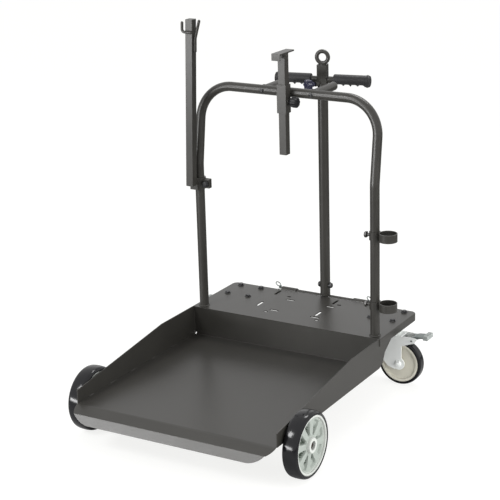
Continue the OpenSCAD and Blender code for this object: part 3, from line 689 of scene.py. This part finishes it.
def makeFrontWheel(name, mirror):
    r, half, rim, bend = wheel["r"], wheel["half"], wheel["rim"], wheel["shoulder"]
    place, body = (wheel["x"], 0, wheel["z"]), "front_wheel_" + name
    outer = [(rim, half - 2.2), (rim + 0.5, half - 0.9)]
    outer += arc((r - bend - 1, half - bend), bend, 88, 9, 14)
    outer += [(r - h * h / wheel["crown"], h) for h in (13.5, 11, 8.5, 6, 3, 1)]
    bm = bmesh.new()
    lathe(bm, bothFaces(outer), place, sideX, sides=144, closed=True)
    addPiece("wheel_tyre_%s.round" % name, bm, "tread_rubber", body, "wheel_tyre_" + name,
             mirror=mirror)

    bm = bmesh.new()
    boss, bore, recess, webTop = hub["boss"], hub["bore"], hub["recess"], hub["face"]
    floor = half - hub["recessDepth"]
    web = [(boss + (rim - 6.5 - boss) * k / 26, webTop) for k in range(27)]
    lathe(bm, bothFaces(web), place, sideX, sides=256, closed=True, rise=webHeight)
    lip = [(rim - 7.4, webTop - 1), (rim - 6.8, half - 3.4), (rim - 5.8, half - 2.3),
           (rim - 1.4, half - 2.1), (rim, half - 3)]
    lathe(bm, bothFaces(lip), place, sideX, sides=128, closed=True)
    profile = [(bore, floor), (recess, floor), (recess, half + 0.2), (recess + 0.8, half + 1),
               (boss - 1.6, half + 1), (boss, half - 0.6), (boss + 1.2, webTop - 1),
               (boss + 1.2, 1 - webTop), (boss, 0.6 - half), (boss - 1.6, -half - 1),
               (bore + 0.8, -half - 1), (bore, -half - 0.2)]
    lathe(bm, profile, place, sideX, sides=72, closed=True)
    for face in bm.faces:
        spot = face.calc_center_median() - Vector(place)
        radius, height = math.hypot(spot.y, spot.z), abs(spot.x)
        # the rim's lip and the boss's end get the lighter copy: painted highlight
        if radius > rim - 8 or (radius < boss + 1 and height > webTop - 1):
            face.material_index = 1
        # faces low in a pocket near the boss get the darker copy: painted shade
        elif height < hub["shadeDepth"] and radius < hub["shadeRadius"]:
            face.material_index = 2
    addPiece("wheel_hub_%s.round" % name, bm, "hub_plastic", body, "wheel_hub_" + name,
             mirror=mirror, more=(hubPaintedHighlight, hubPaintedShade))


# retaining rings of round wire, open at the top, with an eye at each end
clip = {"inset": 8.3, "r": 11.2, "wire": 0.62, "gap": math.radians(26), "eye": (0.9, 2.1),
        "eyeUp": 0.4}


def makeAxleClips():
    bm = bmesh.new()
    start, turn = math.pi / 2 + clip["gap"], 2 * math.pi - 2 * clip["gap"]
    inner, outer = clip["eye"]
    for side in (-1, 1):
        x = side * (wheel["x"] + wheel["half"] - clip["inset"])
        path = []
        for k in range(41):
            a = start + turn * k / 40
            path.append((x, clip["r"] * math.cos(a), wheel["z"] + clip["r"] * math.sin(a)))
        tube(bm, path, clip["wire"], sides=10, domed=True)
        for end in (path[0], path[-1]):
            lathe(bm, [(inner, -0.5), (outer, -0.5), (outer, 0.5), (inner, 0.5)],
                  (x, end[1], end[2] + clip["eyeUp"]), sideX, sides=20, closed=True)
    addPiece("axle_clips.round", bm, "zinc", "frame", "axle_clips", material=axleSteel)


makeFrontWheel("right", False)
makeFrontWheel("left", True)
makeAxleClips()
print("front wheels done")

caster = {"x": 270.0, "y": 745.0, "wheelX": 322.0, "z": 75.0, "r": 75.0, "half": 17.0, "seat": 65.0,
          "shoulder": 7.0, "plateLow": 198.0, "legOut": 25.0, "axleR": 6.0, "axleFlats": 19,
          "boltX": 40, "boltY": 44, "boltR": 5.0, "boltLow": 188, "boltFlats": 17}


def makeCaster(name, mirror):
    place = (caster["wheelX"], caster["y"], caster["z"])
    r, half, seat, bend = caster["r"], caster["half"], caster["seat"], caster["shoulder"]
    body, wheelBody = "caster_" + name, "caster_wheel_" + name
    side = [(seat, half - 1.2), (seat + 0.6, half - 0.3)]
    side += arc((r - bend, half - bend), bend, 88, 0)
    bm = bmesh.new()
    lathe(bm, bothFaces(side), place, backY, sides=112, closed=True)
    addPiece("caster_tyre_%s.round" % name, bm, "tread_rubber", wheelBody, "caster_tyre_" + name,
             mirror=mirror)

    bushing = [(6.05, half + 3), (14, half + 3), (15.2, half + 2.2), (16.4, half - 1),
               (18.5, half - 2.6)]
    dish = [(30, half - 3.6), (50, half - 6.4), (53.4, half - 6.6), (55.2, half - 5.6)]
    rim = [(56.6, half - 0.9), (58, half), (62.8, half), (64, half - 0.5), (seat, half - 1.6)]
    bm = bmesh.new()
    lathe(bm, bothFaces(bushing + dish + rim), place, backY, sides=112, closed=True)
    addPiece("caster_disc_%s.round" % name, bm, "disc_plastic", wheelBody, "caster_disc_" + name,
             mirror=mirror)

    bm = bmesh.new()
    out, pin = caster["legOut"], caster["axleR"]
    lathe(bm, [(0, -out - 9), (pin - 1, -out - 9), (pin, -out - 8), (pin, out), (0, out)],
          place, backY, sides=32)
    hexHead(bm, (place[0], place[1] - out, place[2]), opposite(backY), caster["axleFlats"], 7, 1.4)
    hexHead(bm, (place[0], place[1] + out, place[2]), backY, caster["axleFlats"], 8, 1.4)
    addPiece("caster_axle_%s.round" % name, bm, "zinc", body, "caster_axle_" + name, mirror=mirror)


def makeCasterScrews():
    bolts, nuts = bmesh.new(), bmesh.new()
    top, low, r = tray["deckZ"], caster["boltLow"], caster["boltR"]
    shank = [(0, low), (r - 0.7, low), (r, low + 1), (r, top), (0, top)]
    for side in (-1, 1):
        for dx in (-caster["boltX"], caster["boltX"]):
            for dy in (-caster["boltY"], caster["boltY"]):
                x, y = side * (caster["x"] + dx), caster["y"] + dy
                lathe(bolts, shank, (x, y, 0), sides=24)
                hexHead(bolts, (x, y, top), upZ, caster["boltFlats"], 7, 1.5)
                hexHead(nuts, (x, y, caster["plateLow"]), opposite(upZ), caster["boltFlats"], 8,
                        1.2)
    addPiece("caster_bolts.round", bolts, "dark_screw", "frame", "caster_bolts")
    addPiece("caster_nuts.round", nuts, "zinc", "frame", "caster_nuts")


makeCaster("right", False)
makeCaster("left", True)
makeCasterScrews()
for side in ("left", "right"):
    refined("caster_plate_" + side, 1.0)
    refined("caster_fork_" + side, 1.1, body="caster_" + side)
    refined("brake_pedal_" + side, 0.7, body="brake_" + side, material=pedalSteel)
    refined("pedal_pad_" + side, 0.6, body="brake_" + side)
print("casters done")

fadeRadius = 12.0


# radius change that gives a knob its lobes, fading toward the middle within fadeRadius
def lobed(count, depth, power):

    def swell(angle, radius, height):
        wave = (0.5 + 0.5 * math.cos(count * angle)) ** power
        return radius * (1 - depth * (1 - wave) * min(1.0, radius / fadeRadius))

    return swell


# a knob has its lobes as (count, depth, power) and its screw as (low, high, radius)
clampKnob = {
    "node": "clamp_knob", "slot": "black_knob", "body": "rim_clamp_knob",
    "origin": (0, 568.43, 946), "axis": sideX, "lobes": (8, 0.12, 0.6), "screw": (12.8, 24.5, 5),
    "profile": [(0, 21), (7.4, 21), (8.6, 22), (9.4, 24.6), (13.4, 26.4), (16, 29.6), (17, 32.6),
                (17, 44.6), (16, 48), (14, 50), (6.6, 50.2), (5.4, 49.2), (0, 49)]}
mastKnob = {
    "node": "mast_knob", "slot": "black_knob", "body": "mast_clamp_knob",
    "origin": (-286, 541, 651), "axis": backY, "lobes": (10, 0.12, 0.7), "screw": (1, 35, 4),
    "profile": [(0, 0), (7.4, 0), (9.2, 0.7), (10, 2), (10, 9.6), (9, 11.4), (6.4, 12), (0, 12)]}
headTurn = math.radians(-120.0)
headKnob = {
    "node": "head_knob", "slot": "blue_knob", "body": "tow_clamp_knob",
    "origin": (0, 826, 956), "axis": (math.cos(headTurn), math.sin(headTurn), 0),
    "lobes": (6, 0.26, 0.8), "screw": (22, 45, 4),
    "profile": [(0, 35), (8.5, 35), (9, 36), (9, 43.6), (12, 44.1), (16.5, 45.2), (18.3, 47.4),
                (18.5, 50), (18.5, 59.4), (17.9, 62.4), (16, 64.8), (12.5, 66), (9.6, 66),
                (9, 64.8), (0, 64.4)]}


def makeKnob(knob):
    bm = bmesh.new()
    lathe(bm, knob["profile"], knob["origin"], knob["axis"], sides=120, swell=lobed(*knob["lobes"]))
    low, high, r = knob["screw"]
    lathe(bm, [(0, low), (r - 0.6, low), (r, low + 0.6), (r, high), (0, high)],
          knob["origin"], knob["axis"], sides=28)
    addPiece(knob["node"] + ".round", bm, knob["slot"], knob["body"], knob["node"])


# two screws of the upper ring and the lower cup
ringScrew = {"x": 300, "z": (328.5, 555), "r": 5, "length": 14, "headX": 289, "flats": 18,
             "height": 8}


def makeRingScrews():
    r, length = ringScrew["r"], ringScrew["length"]
    bm = bmesh.new()
    for z in ringScrew["z"]:
        lathe(bm, [(0, 0), (r, 0), (r, length), (0, length)], (ringScrew["x"], hoop["legY"], z),
              opposite(sideX), sides=28)
        hexHead(bm, (ringScrew["headX"], hoop["legY"], z), opposite(sideX), ringScrew["flats"],
                ringScrew["height"])
    addPiece("ring_screws.round", bm, "dark_screw", "frame", "ring_screws", material=framePaint)


for knob in (clampKnob, mastKnob, headKnob):
    makeKnob(knob)
makeRingScrews()
print("knobs done")

# rods on the hose mast, placed from the middle of its top: a hook in front and a leaning rod at
# the side
mast = {"top": (-302, 522, 1190), "lean": math.radians(2.2), "half": 10, "wire": 4.5,
        "hookY": -17, "hookZ": -40, "hookX": -21, "hookTip": -11, "hookBend": 9,
        "rodX": 17, "rodLow": -100, "rodBendZ": -60, "rodBend": 40, "rodReach": 58,
        "rodTilt": math.radians(14), "beadOut": 13.3, "beadOff": 3.4, "bead": 1.7}


def makeMastHooks():
    lean = Matrix.Translation(mast["top"]) @ Matrix.Rotation(mast["lean"], 4, "Y")
    wire, half = mast["wire"], mast["half"]
    x, y, z = mast["hookX"], mast["hookY"], mast["hookZ"]
    bm = bmesh.new()
    tube(bm, bentPath([(half, y, z), (x, y, z), (x, y, mast["hookTip"])], [mast["hookBend"]], 9),
         wire, sides=28, domed=True)
    x, low, knee = mast["rodX"], mast["rodLow"], mast["rodBendZ"]
    reach, tilt = mast["rodReach"], mast["rodTilt"]
    tip = (x + reach * math.sin(tilt), 0, knee + reach * math.cos(tilt))
    tube(bm, bentPath([(x, 0, low), (x, 0, knee), tip], [mast["rodBend"]], 2), wire, sides=28,
         domed=True)
    bm.transform(lean)
    addPiece("mast_hooks.round", bm, "frame_paint", "frame", "mast_hooks")
    bm = bmesh.new()
    out, off = mast["beadOut"], mast["beadOff"]
    for side in (-1, 1):
        weld(bm, [(-half, -out, z + side * off), (half, -out, z + side * off)], mast["bead"])
    for side in (-1, 1):
        weld(bm, [(out, side * off, low), (out, side * off, knee - 4)], mast["bead"])
    bm.transform(lean)
    addPiece("mast.welds", bm, "frame_paint", "frame")


makeMastHooks()

tow = {"y": 826.0, "r": 17.0, "bore": 14.0, "foot": 234.0, "top": 954.0, "turn": math.radians(11.5),
       "handleZ": 967.0, "half": 159.0, "boltZ": 265.0, "boltR": 5, "boltHalf": 22, "boltFlats": 16}
headPlace = Matrix.Translation((0, tow["y"], 0)) @ Matrix.Rotation(tow["turn"], 4, "Z")


def makeTowTube():
    r, bore, low, high = tow["r"], tow["bore"], tow["foot"], tow["top"]
    bm = bmesh.new()
    lathe(bm, [(bore, low), (r - 0.8, low), (r, low + 0.8), (r, high - 0.8), (r - 0.8, high),
               (bore, high)], (0, tow["y"], 0), sides=64, closed=True)
    addPiece("tow_tube.round", bm, "frame_paint", "tow_bar", "tow_tube")

    bm = bmesh.new()
    y, z, pin, half, flats = (tow[k] for k in ("y", "boltZ", "boltR", "boltHalf", "boltFlats"))
    lathe(bm, [(0, -half), (pin, -half), (pin, half), (0, half)], (0, y, z), sideX, sides=28)
    hexHead(bm, (-r - 0.2, y, z), opposite(sideX), flats, 8.3, 1.4)
    hexHead(bm, (r + 0.2, y, z), sideX, flats, 9.4, 1.4)
    addPiece("tow_bolt.round", bm, "dark_screw", "tow_bar", "tow_bolt")


# the eye's ring is cut flat where it stands on the head
eye = {"z": 1040, "r": 19, "wire": 6.5, "footZ": 1015.6, "weldZ": 1017.4, "weldX": 9.5,
       "weldY": 6.6, "weld": 2.0}


def makeEye():
    bm = bmesh.new()
    centre = Vector((0, 0, eye["z"]))
    ring = [centre + Vector((eye["r"] * math.cos(a), 0, eye["r"] * math.sin(a)))
            for a in around(96)]
    tube(bm, ring, eye["wire"], sides=36, closed=True)
    foot = [(eye["weldX"] * math.cos(a), eye["weldY"] * math.sin(a), eye["weldZ"])
            for a in around(48)]
    weld(bm, foot, eye["weld"], closed=True)
    bmesh.ops.bisect_plane(bm, geom=bm.verts[:] + bm.edges[:] + bm.faces[:],
                           plane_co=(0, 0, eye["footZ"]), plane_no=upZ, clear_inner=True)
    bmesh.ops.holes_fill(bm, edges=[e for e in bm.edges if e.is_boundary])
    bm.transform(headPlace)
    addPiece("tow_eye.round", bm, "frame_paint", "tow_handle", "tow_eye")


# four finger scoops below, then a collar near the outer end
grip = {"inner": 38.0, "r": 18.8, "collar": 20.4, "scoops": 4, "pitch": 24.0, "firstRidge": 46.0,
        "depth": 5.4, "bore": 11.1}


def scooped(angle, radius, height):
    along = height - grip["firstRidge"]
    if not 0 < along < grip["scoops"] * grip["pitch"]:
        return radius
    t = (along / grip["pitch"]) % 1.0
    down = max(0.0, -math.sin(angle))
    return radius - grip["depth"] * (1 - (2 * t - 1) ** 4) * down ** 1.4


def makeGrip(name, side):
    inner, half, r = grip["inner"], tow["half"], grip["r"]
    collar, bore = grip["collar"], grip["bore"]
    shaft = [(bore, inner), (r - 2.4, inner), (r - 0.6, inner + 0.8), (r, inner + 2.4)]
    shaft += [(r, inner + 4 + k * 1.3) for k in range(80)]
    shaft += [(r, half - 12.6), (collar, half - 11.8), (collar, half - 6.8), (r, half - 6)]
    end = [(r, half - 3.4), (r - 1, half - 1.2), (r - 3, half - 0.1), (7, half), (6, half - 1.6),
           (0, half - 2)]
    bm = bmesh.new()
    lathe(bm, [(0, half - 4), (bore, half - 4)] + shaft + end, (0, 0, tow["handleZ"]), sideX,
          sides=72, swell=scooped)
    bmesh.ops.remove_doubles(bm, verts=bm.verts, dist=0.01)
    if side < 0:
        bm.transform(Matrix.Scale(-1.0, 4, sideX))
    bm.transform(headPlace)
    addPiece("grip_%s.round" % name, bm, "grip_rubber", "tow_handle", "grip_" + name, smooth=50)


# a pin with a round head, and a wire ring that leans outward from it
lynchPin = {"x": 174, "y": 825.0, "z": 221.0, "ringZ": 22.6, "ringR": 9.6, "wire": 1.6,
            "pivotZ": 13, "lean": math.radians(-50),
            "profile": [(0, -17), (1.5, -17), (2.5, -14.5), (2.5, 7), (4.2, 7.6), (4.8, 9.5),
                        (4.8, 13), (4, 15), (0, 15.4)]}


def makeLynchPins():
    bm = bmesh.new()
    lean = Matrix.Rotation(lynchPin["lean"], 3, "Y")
    for side in (-1, 1):
        x, y, z = side * lynchPin["x"], lynchPin["y"], lynchPin["z"]
        lathe(bm, lynchPin["profile"], (x, y, z), sides=32)
        pivot = Vector((x, y, z + lynchPin["pivotZ"]))
        upright = circle((x, y, z + lynchPin["ringZ"]), sideX, lynchPin["ringR"], 56)
        ring = [pivot + lean @ (p - pivot) for p in upright]
        tube(bm, ring, lynchPin["wire"], sides=14, closed=True)
    addPiece("lynch_pins.round", bm, "zinc", "frame", "lynch_pins", material=pedalSteel)


makeTowTube()
makeEye()
makeGrip("right", 1)
makeGrip("left", -1)
makeLynchPins()
refined("handlebar", 0.8, body="tow_handle")
print("tow bar done")


def grey(value):
    return (value, value, value, 1.0)


# the floor's grey for diffuse rays, for glossy rays near the cart and far from it, and as the
# camera sees it, where a glow is added; lengths in metres. The glossy grey darkens away from the
# cart: a painted fall-off of light in what the paint reflects
floorLook = {"size": 14.0, "below": 0.0005, "diffuse": 0.66, "near": 0.54, "far": 0.1,
             "nearEnd": 0.8, "farStart": 1.9, "shown": 0.22, "glow": 0.83,
             "tint": (1.0, 1.0, 0.985, 1.0)}


def addFloor():
    bm = bmesh.new()
    bmesh.ops.create_grid(bm, x_segments=1, y_segments=1, size=floorLook["size"])
    mesh = bpy.data.meshes.new("floor")
    bm.to_mesh(mesh)
    bm.free()
    floor = bpy.data.objects.new("floor", mesh)
    bpy.context.scene.collection.objects.link(floor)
    material, tree, sockets = newMaterial("floorWhite", 0.9, specular=0.0)
    path = addNode(tree, "ShaderNodeLightPath").outputs
    reach = addNode(tree, "ShaderNodeVectorMath", operation="LENGTH")
    feed(tree, addNode(tree, "ShaderNodeTexCoord").outputs["Object"], reach.inputs[0])
    away = rangeNode(tree, reach.outputs["Value"], floorLook["nearEnd"], floorLook["farStart"])
    # painted shade in reflections: the floor is darker far from the cart
    mirrored = mixColour(tree, away, grey(floorLook["near"]), grey(floorLook["far"]))
    colour = mixColour(tree, path["Is Glossy Ray"], grey(floorLook["diffuse"]), mirrored)
    feed(tree, colour, sockets["Base Color"])
    shown = addNode(tree, "ShaderNodeBsdfDiffuse")
    feed(tree, grey(floorLook["shown"]), shown.inputs["Color"])
    glow = addNode(tree, "ShaderNodeEmission")
    feed(tree, floorLook["tint"], glow.inputs["Color"])
    feed(tree, floorLook["glow"], glow.inputs["Strength"])
    added = addNode(tree, "ShaderNodeAddShader")
    feed(tree, shown.outputs[0], added.inputs[0])
    feed(tree, glow.outputs[0], added.inputs[1])
    plain = tree.nodes["Principled BSDF"].outputs[0]
    surface = mixShader(tree, path["Is Camera Ray"], plain, added.outputs[0])
    feed(tree, surface, tree.nodes["Material Output"].inputs["Surface"])
    mesh.materials.append(material)
    floor.location.z = cadBox[0].z - floorLook["below"]


worldLook = {"ambient": 0.8, "shown": 1.0}


# white for rays that are seen directly, in a mirror or through glass; softer as ambient light
def addWorld():
    world = bpy.data.worlds.new("studio")
    world.use_nodes = True
    tree = world.node_tree
    ambient, shown = tree.nodes["Background"], addNode(tree, "ShaderNodeBackground")
    for node, strength in ((ambient, worldLook["ambient"]), (shown, worldLook["shown"])):
        feed(tree, strength, node.inputs["Strength"])
        feed(tree, grey(1.0), node.inputs["Color"])
    path = addNode(tree, "ShaderNodeLightPath").outputs
    seen = path["Is Camera Ray"]
    for label in ("Is Glossy Ray", "Is Transmission Ray"):
        seen = mathNode(tree, "MAXIMUM", seen, path[label])
    surface = mixShader(tree, seen, ambient.outputs[0], shown.outputs[0])
    feed(tree, surface, tree.nodes["World Output"].inputs["Surface"])
    bpy.context.scene.world = world


# places in metres, power in watts
lamps = {
    "lowSoftbox": {"place": (-3.35, -5.9, 0.42), "target": (0.0, -0.5, 0.15), "size": (4.2, 0.8),
                   "power": 250.0},
    "key": {"place": (-1.3, -2.35, 2.3), "target": (0.1, -0.1, 0.2), "size": (0.8, 0.8),
            "power": 46.0},
    "overhead": {"place": (0.2, 1.15, 2.6), "target": (0.37, -0.4, 0.1), "size": (1.3, 0.4),
                 "power": 22.0},
    "rightSoftbox": {"place": (2.6, -0.1, 0.6), "target": (0.3, 0.0, 0.15), "size": (2.4, 1.1),
                     "power": 58.0, "glossy": False},
}


def addLamp(name, place, target, size, power, glossy=True):
    light = bpy.data.lights.new(name, "AREA")
    light.shape = "RECTANGLE"
    light.size, light.size_y = size
    light.energy = power
    lamp = bpy.data.objects.new(name, light)
    bpy.context.scene.collection.objects.link(lamp)
    lamp.location = place
    lamp.rotation_euler = (Vector(target) - Vector(place)).to_track_quat("-Z", "Y").to_euler()
    lamp.visible_glossy = glossy


# place in metres from the ground under the axle's middle; focal length and centre in the unit of
# side, which is the picture's width
view = {"azimuth": math.radians(29.35), "elevation": math.radians(17.35),
        "roll": math.radians(-1.081), "place": (2.29224, -3.46572, 1.95275), "focal": 1526.08,
        "centre": (293.07, 237.57), "side": 500, "sensor": 36.0}


def addCamera():
    azimuth, elevation, roll = view["azimuth"], view["elevation"], view["roll"]
    back = Vector((math.sin(azimuth) * math.cos(elevation),
                   -math.cos(azimuth) * math.cos(elevation), math.sin(elevation)))
    level = Vector((math.cos(azimuth), math.sin(azimuth), 0.0))
    upright = back.cross(level)
    right = level * math.cos(roll) + upright * math.sin(roll)
    up = upright * math.cos(roll) - level * math.sin(roll)
    side = view["side"]
    data = bpy.data.cameras.new("camera")
    data.sensor_width = view["sensor"]
    data.lens = view["focal"] * view["sensor"] / side
    data.shift_x = (side / 2 - view["centre"][0]) / side
    data.shift_y = (view["centre"][1] - side / 2) / side
    camera = bpy.data.objects.new("camera", data)
    bpy.context.scene.collection.objects.link(camera)
    place = Vector(view["place"]) + Vector((0, axleY * mm, 0))
    turn = Matrix((right, up, back)).transposed().to_4x4()
    camera.matrix_world = Matrix.Translation(place) @ turn
    bpy.context.scene.camera = camera


addFloor()
addWorld()
for name, lamp in lamps.items():
    addLamp(name, **lamp)
addCamera()
bpy.context.scene.view_settings.view_transform = "Standard"
print("stage done")
